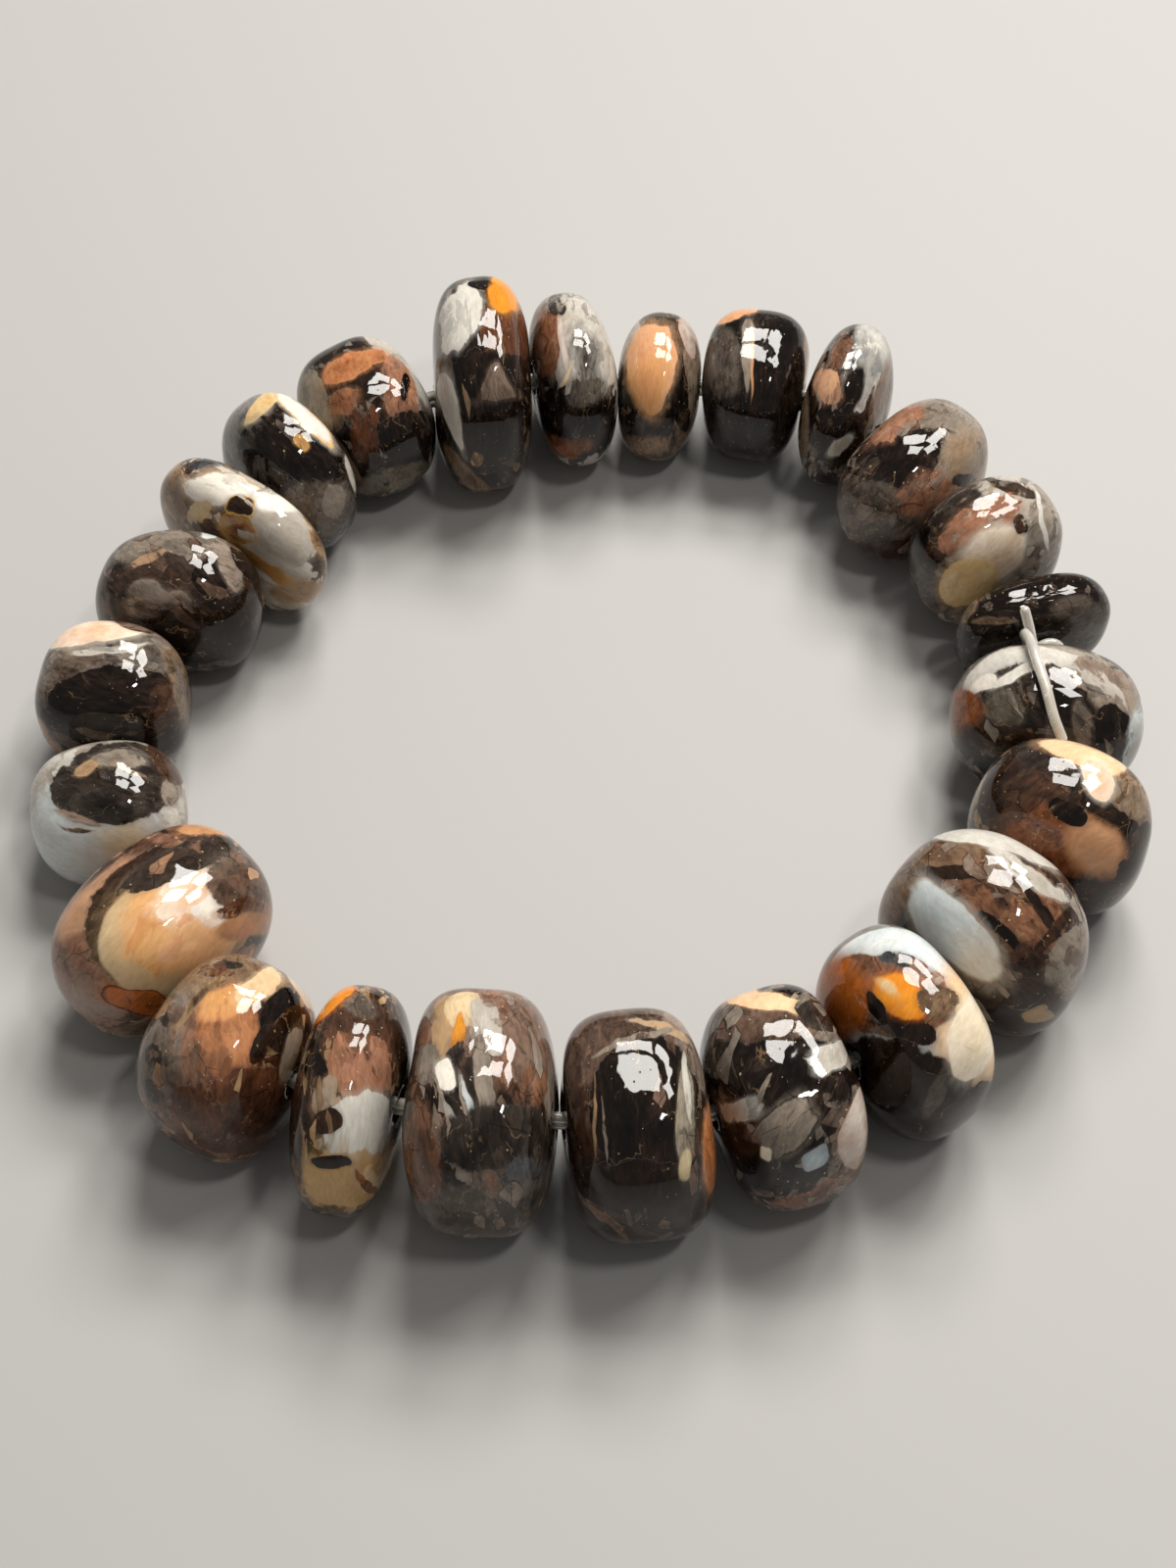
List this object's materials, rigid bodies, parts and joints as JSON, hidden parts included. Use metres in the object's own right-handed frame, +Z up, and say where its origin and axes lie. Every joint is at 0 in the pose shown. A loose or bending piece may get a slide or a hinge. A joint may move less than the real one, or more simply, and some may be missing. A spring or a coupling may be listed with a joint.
{
  "type": "stone bead bracelet",
  "caption": "Stretch bracelet of drilled, tumbled and polished agate nuggets strung on clear elastic with one knot and two cut tails.",
  "frame": {"origin": "on the table under the middle of the ring: the centre of the bounding box's base", "axes": "+Z up, away from the table it lies on; +Y towards the tall narrow stones, -Y towards the large ones, +X towards the knot"},
  "size_m": [0.0816, 0.0814, 0.0158],
  "materials": {
    "stone_dark": "polished black and dark brown agate with grey and brown patches",
    "stone_brown": "polished brown agate, mottled pinkish grey and black",
    "stone_peach": "polished peach, cream and orange agate with black bands",
    "stone_pale": "polished milky grey and cream chalcedony with black patches",
    "elastic_clear": "clear, slightly milky stretch cord"
  },
  "bodies": {
    "root": {"bead_01": "stone_dark", "bead_02": "stone_brown", "bead_03": "stone_peach", "bead_04": "stone_dark", "bead_05": "stone_dark", "bead_06": "stone_brown", "bead_07": "stone_pale", "bead_08": "stone_dark", "bead_09": "stone_dark", "bead_10": "stone_brown", "bead_11": "stone_brown", "bead_12": "stone_peach", "bead_13": "stone_dark", "bead_14": "stone_dark", "bead_15": "stone_dark", "bead_16": "stone_brown", "bead_17": "stone_peach", "bead_18": "stone_peach", "bead_19": "stone_pale", "bead_20": "stone_dark", "bead_21": "stone_brown", "bead_22": "stone_pale", "bead_23": "stone_dark", "bead_24": "stone_brown", "elastic_cord": "elastic_clear"}
  },
  "joints": []
}
